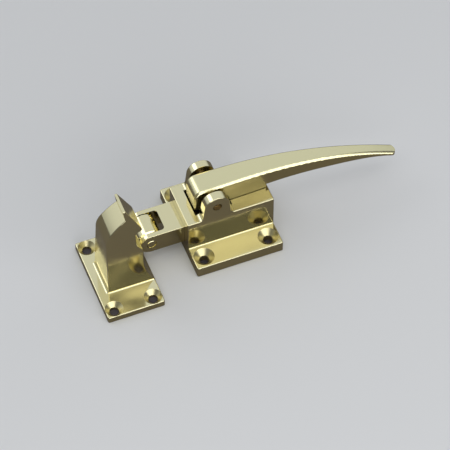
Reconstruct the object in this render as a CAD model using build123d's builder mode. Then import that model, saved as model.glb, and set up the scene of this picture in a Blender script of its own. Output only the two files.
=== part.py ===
from build123d import *
from math import asin, atan2, cos, degrees, radians, sin, tan
import os

os.makedirs("parts", exist_ok=True)

# Icebox latch in cast brass: a sprung bolt with a roller nose, drawn back by a
# hinged lever, and the separate hooked strike that the roller drops into.
# The origin is the middle of the latch's underside. X runs from the strike to
# the tip of the lever, Y across the latch and Z up from the mounting face.
# All sizes are in millimetres.

# Screw plate under the latch
base_length = 41.0
base_width = 48.0
base_thickness = 5.7
base_corner = 0.8
base_screw_pitch_x = 30.6
base_screw_pitch_y = 36.8
base_screw_hole = 4.5
base_countersink = 9.4
countersink_angle = 90.0
plate_edge_round = 0.45

# Body that stands on the plate and holds the bolt. Its front cheek is the thicker one,
# and the well between the cheeks reaches a little further to the front.
well_front = 8.0
well_back = 7.0
front_cheek = 4.2
rear_cheek = 3.8
body_top = 23.0
bridge_length = 5.2
roof_length = 18.3
end_wall = 3.3
body_edge_round = 0.4
body_foot_cove = 0.5

# Ears that carry the lever
pivot_from_left_end = 14.1
pivot_height = 29.9
ear_radius = 6.0
ear_foot_left = 6.9
ear_foot_right = 6.8
ear_root_fillet = 1.8

# Bolt
bolt_width = 15.6
bolt_height = 10.75
bolt_underside = 6.3
bolt_side_clearance = 0.2
bolt_height_clearance = 0.15
bolt_reach = 15.5
bolt_inside_length = 24.5
fork_arm = 2.15
fork_depth = 7.2
fork_corner = 1.6
bolt_edge_round = 0.3

# Roller and its pin
roller_radius = 5.8
roller_end_clearance = 0.2
roller_chamfer = 0.6
roller_pin_diameter = 4.6
running_clearance = 0.06
press_clearance = 0.01
pin_chamfer = 0.35

# Lever
lever_width = 11.2
lever_top = 34.5
lever_hub_corner = 4.2
lever_bridge_gap = 0.6
lever_roof_gap = 0.35
lever_end_setback = 1.0
lever_reach = 90.9
lever_level_length = 11.4
lever_top_arc = 175.0
lever_waist_width = 7.7
lever_waist_reach = 51.0
lever_tip_width = 5.6
lever_tip_thickness = 1.8
arm_underside = 25.5
arm_middle = (56.4, 22.6)
arm_outer = (76.4, 18.7)
lever_edge_round = 1.2
tip_round = 2.8
lever_pin_diameter = 4.1
lever_pin_recess = 2.0

# Finger under the lever that draws the bolt, and the pocket it works in
finger_thickness = 5.0
finger_width = 9.2
finger_reach = 18.0
finger_lean = 12.0
finger_drive_gap = 0.33
slam_travel = 7.5
pocket_side_clearance = 0.4
pocket_floor_clearance = 1.0
pocket_lip_round = 1.2

# Spring behind the bolt
spring_wire = 1.0
spring_coil_diameter = 7.8
spring_turns = 9
spring_bore_clearance = 0.3
spring_bore_depth = 7.0
spring_end_gap = 0.05

# Strike: screw plate
strike_plate_width = 26.6
strike_plate_length = 44.1
strike_plate_thickness = 3.3
strike_screw_pitch_x = 18.25
strike_screw_pitch_y = 35.7
strike_screw_hole = 4.3
strike_countersink = 8.2
strike_centre_y = -10.9
strike_from_roller = 1.6

# Strike: hook, measured from its shoulder, the face that stands next to the roller
plate_ahead_of_shoulder = 4.1
hook_foot_width = 18.6
hook_top_width = 11.0
hook_foot_depth = 17.7
hook_cove = 1.3
back_height = 33.5
back_lean = 0.9
back_knee_radius = 11.6
back_knee_angle = 38.2
back_crown_radius = 35.0
back_crown_angle = 15.3
lip_rise = 5.8
lip_lean = 0.8
lip_thickness = 1.15
ramp_angle = 26.4
nose_height = 37.5
nose_round = 1.3
throat_depth = 3.1
throat_floor = 28.5
throat_corner = 2.4
throat_sweep = 4.5
throat_roof_fall = 0.6
shoulder_height = 24.4
shoulder_round = 2.0
neck_height = 14.7
neck_setback = 0.3
neck_blend = 4.0
flare_hollow = 0.6
hook_edge_round = 0.4
hook_foot_cove = 0.5

# Places worked out from the sizes above
base_left = -base_length / 2
base_right = base_length / 2
body_front = -well_front - front_cheek
body_back = well_back + rear_cheek
bridge_right = base_left + bridge_length
roof_left = base_right - roof_length
pivot_x = base_left + pivot_from_left_end
bolt_top = bolt_underside + bolt_height
bolt_axis_z = bolt_underside + bolt_height / 2
bolt_tail = base_left + bolt_inside_length
roller_x = base_left - bolt_reach
fork_gap = bolt_width - 2 * fork_arm
channel_width = bolt_width + 2 * bolt_side_clearance
channel_floor = bolt_underside - bolt_height_clearance
channel_height = bolt_height + 2 * bolt_height_clearance
channel_depth = base_length - end_wall
hub_left = bridge_right + lever_bridge_gap
root_right = base_right - lever_end_setback
root_underside = body_top + lever_roof_gap
lever_tip = pivot_x + lever_reach
lever_level_end = pivot_x + lever_level_length
shoulder_x = roller_x - roller_radius - strike_from_roller

# The finger's tip is a round end, and its rest place sets the walls of the pocket
finger_lean_angle = radians(finger_lean)
finger_tip_radius = finger_thickness / 2
finger_arm = finger_reach - finger_tip_radius
finger_tip_x = pivot_x - finger_arm * sin(finger_lean_angle)
finger_side = finger_tip_radius / cos(finger_lean_angle)
pocket_lip_drop = pivot_height - (bolt_top - pocket_lip_round)
finger_face_x = pivot_x - pocket_lip_drop * tan(finger_lean_angle) + finger_side
pocket_right = max(finger_face_x, finger_tip_x + finger_tip_radius) + finger_drive_gap
pocket_left = finger_tip_x - finger_tip_radius - slam_travel
pocket_floor = pivot_height - finger_reach - pocket_floor_clearance

spring_bore_diameter = spring_coil_diameter + 2 * spring_bore_clearance
spring_left = bolt_tail - spring_bore_depth
spring_right = base_left + channel_depth


def on_plane(edge, axis, place):
    """True for an edge that lies all along the plane where that axis has that value."""
    box = edge.bounding_box()
    flat = 0.01
    return max(abs(getattr(box.min, axis) - place), abs(getattr(box.max, axis) - place)) < flat


def cove_section(corner_y, corner_z, radius, outward, draft=0.0):
    """Section of a cove where a side, leaning back by the draft in degrees, stands on a plate."""
    reach = radius * tan(radians(45 - draft / 2))
    seam_y = -outward * reach * sin(radians(draft))
    seam_z = reach * cos(radians(draft))
    with Locations((corner_y, corner_z)):
        Polygon(
            (-outward * radius, -radius),
            (outward * reach, -radius),
            (outward * reach, 0),
            (seam_y, seam_z),
            (-outward * radius, seam_z),
            align=None,
        )
    with Locations((corner_y + outward * reach, corner_z + radius)):
        Circle(radius, mode=Mode.SUBTRACT)


# Outline of one ear: a round top running down in straight flanks to a wider foot
with BuildSketch() as ear_view:
    with BuildLine():
        CenterArc((pivot_x, pivot_height), ear_radius, 0, 360)
        Line((pivot_x - ear_foot_left, body_top), (pivot_x + ear_foot_right, body_top))
    make_hull()

# Body of the housing: bridge, roof and ears over a well for the lever and its finger
with BuildPart() as housing_body:
    # The body and the flanks of the ears share one side view
    with BuildSketch(Plane.XZ.offset(-body_front)) as side_view:
        Rectangle(base_length, body_top, align=(Align.CENTER, Align.MIN))
        add(ear_view.sketch)
        ear_feet = side_view.vertices().filter_by(
            lambda v: abs(v.Y - body_top) < 0.01 and abs(v.X) < base_right - 0.01
        )
        fillet(ear_feet, ear_root_fillet)
    extrude(amount=body_front - body_back)
    # Well between the cheeks, from the bridge to the roof
    with BuildSketch(Plane.XY.offset(bolt_axis_z)):
        with Locations((bridge_right, well_back)):
            Rectangle(roof_left - bridge_right, well_front + well_back, align=(Align.MIN, Align.MAX))
    extrude(amount=body_top - bolt_axis_z, mode=Mode.SUBTRACT)
    # Space between the two ears
    with BuildSketch(Plane.XY.offset(body_top)):
        with Locations((0, well_back)):
            Rectangle(base_length, well_front + well_back, align=(Align.CENTER, Align.MAX))
    extrude(amount=pivot_height + ear_radius - body_top, mode=Mode.SUBTRACT)
    # The outline of both sides and the two top ends are eased by hand polishing
    side_outline = housing_body.edges().filter_by(
        lambda e: (on_plane(e, "Y", body_front) or on_plane(e, "Y", body_back)) and e.center().Z > 0
    )
    top_ends = housing_body.edges().filter_by(
        lambda e: (on_plane(e, "X", base_left) or on_plane(e, "X", base_right)) and on_plane(e, "Z", body_top)
    )
    fillet(side_outline + top_ends, body_edge_round)

# Latch housing: the body in one casting with its screw plate
with BuildPart() as latch_housing:
    with BuildSketch(Plane.XY):
        RectangleRounded(base_length, base_width, base_corner)
    extrude(amount=base_thickness)
    fillet(latch_housing.faces().sort_by(Axis.Z)[-1].edges(), plate_edge_round)
    add(housing_body.part)
    # Small cove along the foot of both sides
    with BuildSketch(Plane.YZ.offset(base_left + body_foot_cove)):
        cove_section(body_front, base_thickness, body_foot_cove, -1)
        cove_section(body_back, base_thickness, body_foot_cove, 1)
    extrude(amount=base_length - 2 * body_foot_cove)
    # Bolt channel, open at the left end
    with BuildSketch(Plane.YZ.offset(base_left)):
        with Locations((0, channel_floor)):
            Rectangle(channel_width, channel_height, align=(Align.CENTER, Align.MIN))
    extrude(amount=channel_depth, mode=Mode.SUBTRACT)
    # Pin holes in line through both ears
    with BuildSketch(Plane.XZ.offset(-body_front)):
        with Locations((pivot_x, pivot_height)):
            Circle(lever_pin_diameter / 2 + press_clearance)
    extrude(amount=body_front - body_back, mode=Mode.SUBTRACT)
    with Locations(Plane.XY.offset(base_thickness)):
        with GridLocations(base_screw_pitch_x, base_screw_pitch_y, 2, 2):
            CounterSinkHole(base_screw_hole / 2, base_countersink / 2, None, countersink_angle)
latch_housing.part.label = "latch_housing"
export_step(latch_housing.part, "parts/latch_housing.step")

# Bolt: a bar with a forked nose, a pocket for the finger and a bore for the spring
with BuildPart() as bolt:
    with BuildSketch(Plane.XZ):
        with Locations((roller_x, bolt_axis_z)):
            Rectangle(bolt_tail - roller_x, bolt_height, align=(Align.MIN, Align.CENTER))
            Circle(bolt_height / 2)
    extrude(amount=bolt_width / 2, both=True)
    # Gap of the fork, with rounded inner corners
    with BuildSketch(Plane.XY.offset(bolt_underside)) as fork:
        with Locations((roller_x + fork_depth, 0)):
            Rectangle(fork_depth + bolt_height, fork_gap, align=(Align.MAX, Align.CENTER))
        fillet(fork.vertices().group_by(Axis.X)[-1], fork_corner)
    extrude(amount=bolt_height, mode=Mode.SUBTRACT)
    bolt_sides = bolt.edges().filter_by(
        lambda e: on_plane(e, "Y", -bolt_width / 2) or on_plane(e, "Y", bolt_width / 2)
    )
    fillet(bolt_sides, bolt_edge_round)
    # Pocket for the finger
    with BuildSketch(Plane.XY.offset(pocket_floor)):
        with Locations((pocket_left, 0)):
            Rectangle(
                pocket_right - pocket_left,
                finger_width + 2 * pocket_side_clearance,
                align=(Align.MIN, Align.CENTER),
            )
    extrude(amount=bolt_top - pocket_floor, mode=Mode.SUBTRACT)
    pocket_lip = bolt.edges().filter_by(Axis.Y).filter_by(
        lambda e: abs(e.center().X - pocket_right) < 0.01 and abs(e.center().Z - bolt_top) < 0.01
    )
    fillet(pocket_lip, pocket_lip_round)
    # Bore for the spring
    with BuildSketch(Plane.YZ.offset(bolt_tail)):
        with Locations((0, bolt_axis_z)):
            Circle(spring_bore_diameter / 2)
    extrude(amount=-spring_bore_depth, mode=Mode.SUBTRACT)
    # Pin hole across the fork
    with BuildSketch(Plane.XZ):
        with Locations((roller_x, bolt_axis_z)):
            Circle(roller_pin_diameter / 2 + press_clearance)
    extrude(amount=bolt_width, both=True, mode=Mode.SUBTRACT)
bolt.part.label = "bolt"
export_step(bolt.part, "parts/bolt.step")

# Roller: a turned barrel with chamfered ends
with BuildPart() as roller:
    with BuildSketch(Plane.XZ):
        with Locations((roller_x, bolt_axis_z)):
            Circle(roller_radius)
    extrude(amount=fork_gap / 2 - roller_end_clearance, both=True)
    chamfer(roller.edges().filter_by(GeomType.CIRCLE), roller_chamfer)
    with BuildSketch(Plane.XZ):
        with Locations((roller_x, bolt_axis_z)):
            Circle(roller_pin_diameter / 2 + running_clearance)
    extrude(amount=bolt_width, both=True, mode=Mode.SUBTRACT)
roller.part.label = "roller"
export_step(roller.part, "parts/roller.step")

# Roller pin, flush with the fork's cheeks
with BuildPart() as roller_pin:
    with BuildSketch(Plane.XZ):
        with Locations((roller_x, bolt_axis_z)):
            Circle(roller_pin_diameter / 2)
    extrude(amount=bolt_width / 2, both=True)
    chamfer(roller_pin.edges().filter_by(GeomType.CIRCLE), pin_chamfer)
roller_pin.part.label = "roller_pin"
export_step(roller_pin.part, "parts/roller_pin.step")

# Lever pin, sunk a little below both ears
with BuildPart() as lever_pin:
    with BuildSketch(Plane.XZ.offset(-body_front - lever_pin_recess)):
        with Locations((pivot_x, pivot_height)):
            Circle(lever_pin_diameter / 2)
    extrude(amount=body_front - body_back + 2 * lever_pin_recess)
    chamfer(lever_pin.edges().filter_by(GeomType.CIRCLE), pin_chamfer)
lever_pin.part.label = "lever_pin"
export_step(lever_pin.part, "parts/lever_pin.step")

# Lever: hub, root and drooping tapered arm in one casting
top_arc_angle = degrees(asin((lever_tip - lever_level_end) / lever_top_arc))
with BuildPart() as lever:
    # Side view
    with BuildSketch(Plane.XZ) as lever_side:
        with BuildLine():
            hub_back = Line((hub_left, root_underside), (hub_left, lever_top - lever_hub_corner))
            hub_corner = JernArc(hub_back @ 1, (0, 1), lever_hub_corner, -90)
            level_top = Line(hub_corner @ 1, (lever_level_end, lever_top))
            top_arc = JernArc(level_top @ 1, (1, 0), lever_top_arc, -top_arc_angle)
            tip_end = PolarLine(top_arc @ 1, lever_tip_thickness, -90 - top_arc_angle)
            underside = Spline(
                tip_end @ 1,
                (pivot_x + arm_outer[0], arm_outer[1]),
                (pivot_x + arm_middle[0], arm_middle[1]),
                (root_right, arm_underside),
                tangents=[(top_arc % 1) * -1, (-1, 0)],
            )
            Polyline(underside @ 1, (root_right, root_underside), hub_back @ 0)
        make_face()
    extrude(amount=lever_width / 2, both=True)
    # Plan view, drawn with a square tip until the edges are rounded
    with BuildSketch(Plane.XY):
        with BuildLine() as half_plan:
            hub_end = Line((hub_left, 0), (hub_left, lever_width / 2))
            arm_side = Spline(
                hub_end @ 1,
                (pivot_x + lever_waist_reach, lever_waist_width / 2),
                (lever_tip, lever_tip_width / 2),
                tangents=[(1, 0), (1, 0)],
            )
            Line(arm_side @ 1, (lever_tip, 0))
            mirror(half_plan.line, about=Plane.XZ)
        make_face()
    extrude(amount=lever_top, mode=Mode.INTERSECT)
    # One soft rounding runs up the hub's corners and along the whole top
    hub_corners = lever.edges().filter_by(Axis.Z).filter_by(lambda e: e.center().X < pivot_x)
    fillet(hub_corners, lever_edge_round)
    # Round tip in plan
    with BuildSketch(Plane.XY):
        with Locations((lever_tip - tip_round, 0)):
            Circle(tip_round)
            Rectangle(lever_tip - hub_left, lever_width, align=(Align.MAX, Align.CENTER))
    extrude(amount=lever_top, mode=Mode.INTERSECT)
    # Finger: a bar with a round end, leaning back from the pivot to reach into the bolt
    with BuildSketch(Plane.XZ):
        with Locations((pivot_x, pivot_height)):
            SlotCenterPoint(
                (-finger_arm / 2 * sin(finger_lean_angle), -finger_arm / 2 * cos(finger_lean_angle)),
                (-finger_arm * sin(finger_lean_angle), -finger_arm * cos(finger_lean_angle)),
                finger_thickness,
            )
    extrude(amount=finger_width / 2, both=True)
    with BuildSketch(Plane.XZ):
        with Locations((pivot_x, pivot_height)):
            Circle(lever_pin_diameter / 2 + running_clearance)
    extrude(amount=lever_width, both=True, mode=Mode.SUBTRACT)
lever.part.label = "lever"
export_step(lever.part, "parts/lever.step")

# Spring: a compression coil between the bolt's bore and the channel's end wall
spring_start = spring_left + spring_wire / 2 + spring_end_gap
spring_length = spring_right - spring_left - spring_wire - 2 * spring_end_gap
with BuildPart() as bolt_spring:
    with BuildLine() as coil:
        Helix(
            spring_length / spring_turns,
            spring_length,
            (spring_coil_diameter - spring_wire) / 2,
            center=(spring_start, 0, bolt_axis_z),
            direction=(1, 0, 0),
        )
    with BuildSketch(Plane(origin=coil.line @ 0, z_dir=coil.line % 0)):
        Circle(spring_wire / 2)
    sweep(path=coil.line, is_frenet=True)
bolt_spring.part.label = "bolt_spring"
export_step(bolt_spring.part, "parts/bolt_spring.step")

# Strike hook: drafted sides, a camming ramp on its front and a hollow throat for the roller
plate_right = shoulder_x + plate_ahead_of_shoulder
foot_left = shoulder_x - hook_foot_depth
throat_x = shoulder_x - throat_depth
neck_x = shoulder_x - neck_setback
with BuildPart() as hook:
    # Side view, closed below by the plate's underside
    with BuildSketch(Plane.XZ.offset(-strike_centre_y)):
        with BuildLine():
            cove_start = (foot_left - hook_cove, strike_plate_thickness)
            cove_end = (foot_left, strike_plate_thickness + hook_cove)
            RadiusArc(cove_start, cove_end, -hook_cove)
            back = Line(cove_end, (foot_left + back_lean, back_height))
            knee = JernArc(back @ 1, back % 1, back_knee_radius, -back_knee_angle)
            crown = JernArc(knee @ 1, knee % 1, back_crown_radius, -back_crown_angle)
            lip_outer = Line(crown @ 1, (crown @ 1) + Vector(-lip_lean, lip_rise))
            lip_top = Line(lip_outer @ 1, (lip_outer @ 1) + Vector(lip_thickness, 0))
            ramp_drop = (lip_top @ 1).Y - nose_height
            nose = (lip_top @ 1) + Vector(ramp_drop * tan(radians(ramp_angle)), -ramp_drop)
            FilletPolyline(
                lip_top @ 1,
                nose,
                (throat_x, nose_height - throat_roof_fall),
                (throat_x, throat_floor),
                (shoulder_x, shoulder_height),
                (neck_x, neck_height + neck_blend),
                (neck_x, neck_height),
                radius=[nose_round, throat_corner, throat_sweep, shoulder_round, neck_blend],
            )
            SagittaArc((neck_x, neck_height), (plate_right, strike_plate_thickness), -flare_hollow)
            Polyline((plate_right, strike_plate_thickness), (plate_right, 0), (cove_start[0], 0), cove_start)
        make_face()
    extrude(amount=hook_foot_width, both=True)
    # Drafted sides, seen from the front
    hook_top = (lip_top @ 1).Y
    foot_half = hook_foot_width / 2
    with BuildSketch(Plane.YZ.offset(foot_left - hook_cove)):
        with Locations((strike_centre_y, 0)):
            Polygon(
                (-foot_half, 0),
                (foot_half, 0),
                (foot_half, strike_plate_thickness),
                (hook_top_width / 2, hook_top),
                (-hook_top_width / 2, hook_top),
                (-foot_half, strike_plate_thickness),
                align=None,
            )
    extrude(amount=strike_plate_width, mode=Mode.INTERSECT)
    # The edges of both sides are eased by hand polishing, from the plate up
    hook_sides = hook.faces().filter_by(lambda f: abs(f.normal_at().Y) > 0.9)
    hook_rims = hook_sides.edges().filter_by(lambda e: e.center().Z > strike_plate_thickness + hook_edge_round)
    fillet(hook_rims, hook_edge_round)

# Strike: the hook in one casting with its screw plate
plate_middle = (plate_right - strike_plate_width / 2, strike_centre_y)
with BuildPart() as strike:
    with BuildSketch(Plane.XY):
        with Locations(plate_middle):
            RectangleRounded(strike_plate_width, strike_plate_length, base_corner)
    extrude(amount=strike_plate_thickness)
    fillet(strike.faces().sort_by(Axis.Z)[-1].edges(), plate_edge_round)
    add(hook.part)
    # Small cove along the foot of both sides
    hook_draft = degrees(atan2(foot_half - hook_top_width / 2, hook_top - strike_plate_thickness))
    with BuildSketch(Plane.YZ.offset(foot_left)):
        for side in (-1, 1):
            cove_section(
                strike_centre_y + side * foot_half, strike_plate_thickness, hook_foot_cove, side, hook_draft
            )
    extrude(amount=plate_right - foot_left - hook_foot_cove)
    with Locations(Plane(plate_middle + (strike_plate_thickness,))):
        with GridLocations(strike_screw_pitch_x, strike_screw_pitch_y, 2, 2):
            CounterSinkHole(strike_screw_hole / 2, strike_countersink / 2, None, countersink_angle)
strike.part.label = "strike"
export_step(strike.part, "parts/strike.step")
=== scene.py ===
import math
import bmesh
import bpy
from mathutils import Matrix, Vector


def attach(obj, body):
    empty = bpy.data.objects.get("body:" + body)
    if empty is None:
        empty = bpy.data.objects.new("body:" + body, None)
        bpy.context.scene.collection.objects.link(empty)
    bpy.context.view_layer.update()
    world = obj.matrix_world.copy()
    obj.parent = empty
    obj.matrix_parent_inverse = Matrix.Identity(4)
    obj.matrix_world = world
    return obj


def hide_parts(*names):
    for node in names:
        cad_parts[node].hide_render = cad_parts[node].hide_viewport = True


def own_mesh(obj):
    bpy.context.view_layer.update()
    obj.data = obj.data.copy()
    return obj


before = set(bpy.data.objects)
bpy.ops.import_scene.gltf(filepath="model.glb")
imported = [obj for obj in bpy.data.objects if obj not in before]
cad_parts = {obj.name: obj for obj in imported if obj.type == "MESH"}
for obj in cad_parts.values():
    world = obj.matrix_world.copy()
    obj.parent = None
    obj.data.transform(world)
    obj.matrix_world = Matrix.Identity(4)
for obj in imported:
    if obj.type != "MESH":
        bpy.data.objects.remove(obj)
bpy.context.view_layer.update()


# Latch housing. One brass sand casting: a screw plate, the bolt channel with its bridge and
# roof, and two ears for the lever. It is machined, then polished by hand, so its edges are softly
# rounded over and its faces keep a faint ripple. Four countersunk screws fix it to the door.

class Wire:
    """A shader value that can be used in Python sums. Each sum adds its own Math node."""

    def __init__(self, finish, socket):
        self.finish = finish
        self.socket = socket

    def math(self, operation, other):
        return self.finish.node("ShaderNodeMath", {"operation": operation}, {0: self, 1: other})

    def __add__(self, other):
        return self.math("ADD", other)

    __radd__ = __add__

    def __sub__(self, other):
        return self.math("SUBTRACT", other)

    def __mul__(self, other):
        return self.math("MULTIPLY", other)


class Finish:
    """The shader nodes of one material or world, built node by node."""

    def __init__(self, holder):
        holder.use_nodes = True
        self.tree = holder.node_tree
        self.tree.nodes.clear()

    def node(self, kind, settings=None, values=None, output=0):
        """Adds a node, sets it up, fills or links its sockets, and returns one of its outputs."""
        made = self.tree.nodes.new(kind)
        for name, value in (settings or {}).items():
            if name == "stops":
                ramp = made.color_ramp.elements
                while len(ramp) < len(value):
                    ramp.new(1.0)
                for stop, (place, colour) in zip(ramp, value):
                    stop.position = place
                    stop.color = colour
            else:
                setattr(made, name, value)
        for name, value in (values or {}).items():
            if isinstance(value, Wire):
                self.tree.links.new(value.socket, made.inputs[name])
            else:
                made.inputs[name].default_value = value
        return Wire(self, made.outputs[output]) if made.outputs else None

    def noise(self, place, scale, detail, roughness):
        return self.node(
            "ShaderNodeTexNoise",
            values={"Vector": place, "Scale": scale, "Detail": detail, "Roughness": roughness},
        )

    def along(self, direction, axis):
        return self.node(
            "ShaderNodeVectorMath",
            {"operation": "DOT_PRODUCT"},
            {0: direction, 1: axis},
            output="Value",
        )


def metal(name, colour, shade_and_patch_colour, roughness, ripple, grain):
    """Polished metal with a faint ripple and fine strokes.

    It is deeper in random patches. Its colour is also painted lighter on faces that point up
    and deeper on upright faces, as painted light and shade.
    """
    material = bpy.data.materials.new(name)
    finish = Finish(material)
    place = finish.node("ShaderNodeTexCoord", output="Object")
    patches = finish.noise(place, scale=110.0, detail=3.0, roughness=0.55)
    waves = finish.noise(place, scale=48.0, detail=1.0, roughness=0.35)
    drawn_out_place = finish.node(
        "ShaderNodeMapping", values={"Vector": place, "Scale": (60.0, 2400.0, 2400.0)}
    )
    strokes = finish.noise(drawn_out_place, scale=1.0, detail=4.0, roughness=0.65)
    # Painted light and shade: the colour is lighter on faces that point up and deeper on upright
    # faces.
    facing = finish.node("ShaderNodeTexCoord", output="Normal")
    upward_painted_light = finish.node(
        "ShaderNodeMapRange",
        values={"Value": finish.along(facing, (0, 0, 1)), "From Min": 0.1, "From Max": 0.7},
    )
    tone = finish.node(
        "ShaderNodeValToRGB",
        {"stops": [(0.1, (*shade_and_patch_colour, 1.0)), (0.7, (*colour, 1.0))]},
        {"Fac": upward_painted_light * 0.8 + (patches - 0.5) * 0.6},
    )
    height = waves * ripple + strokes * grain * 0.01
    bump = finish.node(
        "ShaderNodeBump", values={"Strength": 1.0, "Distance": 0.001, "Height": height}
    )
    shader = finish.node(
        "ShaderNodeBsdfPrincipled",
        values={
            "Base Color": tone,
            "Metallic": 1.0,
            "Roughness": roughness + (strokes - 0.5) * grain + (patches - 0.5) * 0.05,
            "Normal": bump,
        },
    )
    finish.node("ShaderNodeOutputMaterial", values={"Surface": shader})
    return material


def round_end(shape, true_normal, start, radius):
    """Rounds over the sharp upper edges from an X value on, and shades the new faces softly."""
    sharp = math.radians(35)
    upward = 0.3
    rims = [
        edge for edge in shape.edges
        if min(end.co.x for end in edge.verts) > start
        and edge.calc_face_angle(0) > sharp
        and max(face.normal.z for face in edge.link_faces) > upward
    ]
    rounding = bmesh.ops.bevel(
        shape,
        geom=rims,
        offset=radius,
        segments=4,
        profile=0.5,
        affect="EDGES",
        clamp_overlap=True,
    )
    shape.normal_update()
    fresh = set(rounding["faces"])
    for face in fresh:
        for corner in face.loops:
            beside = [
                loop[true_normal] for loop in corner.vert.link_loops if loop.face not in fresh
            ]
            blended = sum(beside, Vector()) if beside else corner.vert.normal
            corner[true_normal] = blended.normalized()


def shaded(normal, wall_draft, rim_lean):
    """The direction that a spot is shaded with, from its true normal. Angles are in degrees.

    Walls at the front and the back catch the light as if they leaned in by the draft, or stood
    more upright where it is negative. Where a rim lean is given, the rounded upper edges at the
    front catch it as a bevel that leans by so much.
    """
    nearly_upright = 0.99
    rim_from, rim_to = 12, 78
    lean = math.degrees(math.atan2(-normal.y, normal.z))
    if abs(normal.y) > nearly_upright:
        normal.z += math.tan(math.radians(wall_draft))
    elif rim_lean and rim_from < lean < rim_to:
        across = math.hypot(normal.y, normal.z)
        normal.y = -across * math.sin(math.radians(rim_lean))
        normal.z = across * math.cos(math.radians(rim_lean))
    return normal.normalized()


def dressed(node, material, body, wall_draft=0.0, rim_lean=None, soft_end=None):
    """A merged copy of a CAD node in its own finish, shaded with its true surface normals apart
    from the draft and the lean. soft_end is the X value and the radius that round_end takes.
    """
    weld_distance = 1e-6
    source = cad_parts[node].data
    shape = bmesh.new()
    shape.from_mesh(source)
    true_normal = shape.loops.layers.float_vector.new("true_normal")
    for face, polygon in zip(shape.faces, source.polygons):
        for corner, index in zip(face.loops, polygon.loop_indices):
            normal = source.corner_normals[index].vector.copy()
            corner[true_normal] = shaded(normal, wall_draft, rim_lean)
    bmesh.ops.remove_doubles(shape, verts=shape.verts, dist=weld_distance)
    if soft_end:
        round_end(shape, true_normal, *soft_end)
    mesh = bpy.data.meshes.new(node + "_mesh")
    shape.to_mesh(mesh)
    shape.free()
    mesh.shade_smooth()
    kept = mesh.attributes["true_normal"].data
    mesh.normals_split_custom_set([corner.vector[:] for corner in kept])
    mesh.attributes.remove(mesh.attributes["true_normal"])
    mesh.materials.clear()
    mesh.materials.append(material)
    piece = bpy.data.objects.new(node + "_dressed", mesh)
    bpy.context.scene.collection.objects.link(piece)
    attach(piece, body)
    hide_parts(node)
    return piece


housing_brass = metal(
    "housing_brass",
    colour=(0.85, 0.79, 0.49),
    shade_and_patch_colour=(0.77, 0.70, 0.43),
    roughness=0.12,
    ripple=0.45,
    grain=0.05,
)
turned_brass = metal(
    "turned_brass",
    colour=(0.80, 0.72, 0.40),
    shade_and_patch_colour=(0.74, 0.64, 0.32),
    roughness=0.30,
    ripple=0.1,
    grain=0.1,
)


def turned(piece, centre, pitch, reach):
    """Gives a plate's screw holes and their countersinks the duller skin that the drill leaves.

    centre is the middle of its four holes, pitch their spacing and reach a countersink's radius.
    """
    level = 0.9
    piece.data.materials.append(turned_brass)
    for face in piece.data.polygons:
        in_x = abs(abs(face.center.x - centre[0]) - pitch[0] / 2)
        in_y = abs(abs(face.center.y - centre[1]) - pitch[1] / 2)
        if math.hypot(in_x, in_y) < reach and abs(face.normal.z) < level:
            face.material_index = 1


housing = dressed("latch_housing", housing_brass, "housing", wall_draft=2.2)
turned(housing, centre=(0, 0), pitch=(0.0306, 0.0368), reach=0.0048)


# Bolt. A bar of the same brass with a forked nose, milled square and polished. It slides in the
# housing's channel.

dressed("bolt", housing_brass, "bolt")


# Roller. A turned brass barrel with chamfered ends, free on its pin in the bolt's fork.

dressed("roller", housing_brass, "roller")


# Roller pin. A drawn brass rod pressed through both arms of the fork and dressed flush.

dressed("roller_pin", housing_brass, "bolt")


# Lever pin. A drawn brass rod pressed through both ears and sunk below their faces. Its brass
# is painted dark, as painted shade for the recess that its ends sit in.

# Painted shade: the pin's colours are dark to stand for the shade in its recess.
pin_brass = metal(
    "pin_brass",
    colour=(0.30, 0.24, 0.17),
    shade_and_patch_colour=(0.17, 0.12, 0.08),
    roughness=0.42,
    ripple=0.2,
    grain=0.1,
)
dressed("lever_pin", pin_brass, "housing")


# Lever. One casting: a square hub between the ears and a long tapered arm that droops to a
# rounded tip. Its top is brushed along its length to a soft satin.

lever_brass = metal(
    "lever_brass",
    colour=(0.83, 0.78, 0.48),
    shade_and_patch_colour=(0.74, 0.65, 0.35),
    roughness=0.25,
    ripple=0.2,
    grain=0.08,
)
dressed(
    "lever", lever_brass, "lever", rim_lean=46, soft_end=(0.0814, 0.0008)
)


# Bolt spring. Cold-drawn steel wire, coiled between the bolt's bore and the end wall.

spring_steel = metal(
    "spring_steel",
    colour=(0.48, 0.47, 0.45),
    shade_and_patch_colour=(0.36, 0.34, 0.31),
    roughness=0.34,
    ripple=0.1,
    grain=0.1,
)
spring = dressed("bolt_spring", spring_steel, "housing")
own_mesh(spring)


# Strike. One casting: a hook with drafted sides on its own screw plate. It is fixed to the door
# frame, next to the roller.

strike_centre = (-0.0526, -0.0109)
strike = dressed("strike", housing_brass, "housing", wall_draft=-3.5)
turned(strike, strike_centre, pitch=(0.01825, 0.0357), reach=0.0042)


# Floor, plain and pale. It looks darker in the brass than to the camera, as the photograph's
# table does, and a dark card lies under each plate, where only the screw holes show it.

def sheet_of(name, size, centre, height, material):
    """A level sheet that belongs to the stage and not to the part."""
    shape = bmesh.new()
    bmesh.ops.create_grid(shape, x_segments=1, y_segments=1, size=0.5)
    bmesh.ops.scale(shape, verts=shape.verts, vec=(*size, 1))
    bmesh.ops.translate(shape, verts=shape.verts, vec=(*centre, height))
    mesh = bpy.data.meshes.new(name)
    shape.to_mesh(mesh)
    shape.free()
    mesh.materials.append(material)
    sheet = bpy.data.objects.new(name, mesh)
    bpy.context.scene.collection.objects.link(sheet)


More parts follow.
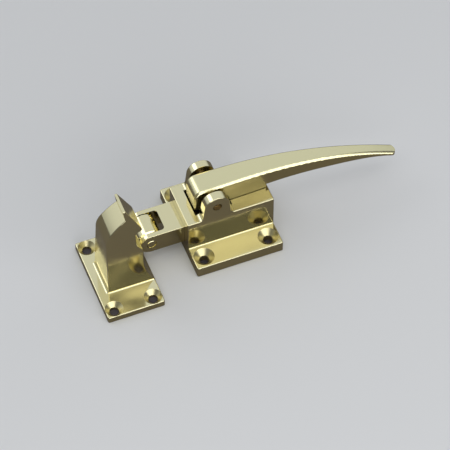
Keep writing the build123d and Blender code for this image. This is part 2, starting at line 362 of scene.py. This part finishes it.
def matt(name, colour, mirrored):
    """A matt paint that has another colour where polished metal mirrors it."""
    material = bpy.data.materials.new(name)
    finish = Finish(material)
    seen = finish.node("ShaderNodeBsdfDiffuse", values={"Color": (*colour, 1.0)})
    in_metal = finish.node("ShaderNodeBsdfDiffuse", values={"Color": (*mirrored, 1.0)})
    is_glossy = finish.node("ShaderNodeLightPath", output="Is Glossy Ray")
    mixed = finish.node("ShaderNodeMixShader", values={0: is_glossy, 1: seen, 2: in_metal})
    finish.node("ShaderNodeOutputMaterial", values={"Surface": mixed})
    return material


floor_finish = matt("floor_finish", (0.72, 0.72, 0.72), mirrored=(0.19, 0.17, 0.15))
# Painted shade: a dark card under each plate stands for the shade that is seen through its screw
# holes.
shade_card_finish = matt("shade_card_finish", (0.10, 0.09, 0.10), mirrored=(0.10, 0.09, 0.10))
shade_card_height = -0.0001
sheet_of("floor", (8.0, 8.0), (0, 0), 2 * shade_card_height, floor_finish)
sheet_of("housing_shade_card", (0.039, 0.046), (0, 0), shade_card_height, shade_card_finish)
sheet_of("strike_shade_card", (0.024, 0.042), strike_centre, shade_card_height, shade_card_finish)


# Soft studio light: a dome that is bright behind the latch and dim in front of it, a wide
# softbox overhead, and lower ones at the front and behind on the left for the rounded edges.

def softbox(name, place, aim, size, power):
    """A rectangular lamp that faces the point it is aimed at."""
    lamp = bpy.data.lights.new(name, "AREA")
    lamp.shape = "RECTANGLE"
    lamp.size, lamp.size_y = size
    lamp.energy = power
    holder = bpy.data.objects.new(name, lamp)
    holder.location = place
    holder.rotation_euler = (Vector(aim) - Vector(place)).to_track_quat("-Z", "Y").to_euler()
    bpy.context.scene.collection.objects.link(holder)


softbox("overhead_softbox", (0, -0.38, 1.0), aim=(0, -0.38, 0), size=(1.6, 0.54), power=2.2)
softbox("front_softbox", (0.35, -1.28, 0.52), aim=(0.35, 0, 0.02), size=(2.4, 0.80), power=14.0)
softbox("back_left_softbox", (-0.70, 0.80, 0.90), aim=(0, 0, 0), size=(0.7, 0.5), power=1.4)

studio = bpy.data.worlds.new("studio")
bpy.context.scene.world = studio
dome = Finish(studio)
bearing = dome.node("ShaderNodeTexCoord", output="Generated")
high_at_the_back = (0, 0.7, 0.714)
brightness = dome.node(
    "ShaderNodeMapRange",
    {"interpolation_type": "SMOOTHSTEP"},
    {
        "Value": dome.along(bearing, high_at_the_back),
        "From Min": 0.2,
        "From Max": 0.65,
        "To Min": 0.12,
        "To Max": 0.70,
    },
)
dome_light = dome.node(
    "ShaderNodeBackground", values={"Color": (0.96, 1.0, 1.05, 1.0), "Strength": brightness}
)
dome.node("ShaderNodeOutputWorld", values={"Surface": dome_light})
bpy.context.scene.view_settings.view_transform = "Standard"


# Camera, in the photograph's viewing direction.

view_azimuth = math.radians(-21.49)
view_elevation = math.radians(53.17)
view_distance = 1.1595
view_target = Vector((-0.001465, -0.008547, 0.010))
image_width = 450
focal_pixels = 2600.0

camera = bpy.data.cameras.new("camera")
camera.sensor_width = 36.0
camera.lens = focal_pixels / image_width * camera.sensor_width
camera.clip_start = 0.01
camera.clip_end = 50.0
camera_back = Vector((
    math.sin(view_azimuth) * math.cos(view_elevation),
    -math.cos(view_azimuth) * math.cos(view_elevation),
    math.sin(view_elevation),
))
camera_holder = bpy.data.objects.new("camera", camera)
camera_holder.location = view_target + view_distance * camera_back
camera_holder.rotation_euler = camera_back.to_track_quat("Z", "Y").to_euler()
bpy.context.scene.collection.objects.link(camera_holder)
bpy.context.scene.camera = camera_holder
